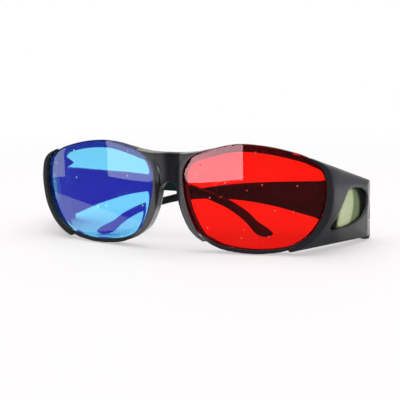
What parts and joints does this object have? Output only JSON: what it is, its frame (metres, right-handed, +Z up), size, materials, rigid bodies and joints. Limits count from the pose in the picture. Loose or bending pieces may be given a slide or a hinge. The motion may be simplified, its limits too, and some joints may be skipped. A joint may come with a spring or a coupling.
{
  "type": "3d glasses",
  "caption": "Fit-over red and blue 3D glasses with a wrapped black frame, side shields with green windows and two folding temples.",
  "frame": {"origin": "centre of the folded glasses' footprint, at table height", "axes": "+X to the wearer's left, +Y towards the wearer, +Z up"},
  "size_m": [0.1647, 0.054, 0.0491],
  "materials": {
    "frame_plastic": "satin black moulding",
    "temple_plastic": "satin black moulding",
    "red_sheet": "clear red tinted sheet, polished",
    "blue_sheet": "clear blue tinted sheet, polished",
    "green_sheet": "clear olive green tinted sheet, polished",
    "pin_steel": "drawn steel wire"
  },
  "bodies": {
    "frame": {"front_frame": "frame_plastic", "red_lens": "red_sheet", "blue_lens": "blue_sheet", "left_window": "green_sheet", "right_window": "green_sheet", "left_hinge_pin": "pin_steel", "right_hinge_pin": "pin_steel"},
    "left_temple": {"left_temple": "temple_plastic"},
    "right_temple": {"right_temple": "temple_plastic"}
  },
  "joints": [
    {"name": "left_hinge", "type": "hinge", "parent": "frame", "child": "left_temple", "pos_m": [0.0794, 0.02445, 0.014], "axis": [0.0262, 0, -0.9997], "range_deg": [0, 99.5]},
    {"name": "right_hinge", "type": "hinge", "parent": "frame", "child": "right_temple", "pos_m": [-0.0794, 0.02445, 0.014], "axis": [-0.0244, 0, 0.9997], "range_deg": [0, 103.3]}
  ]
}
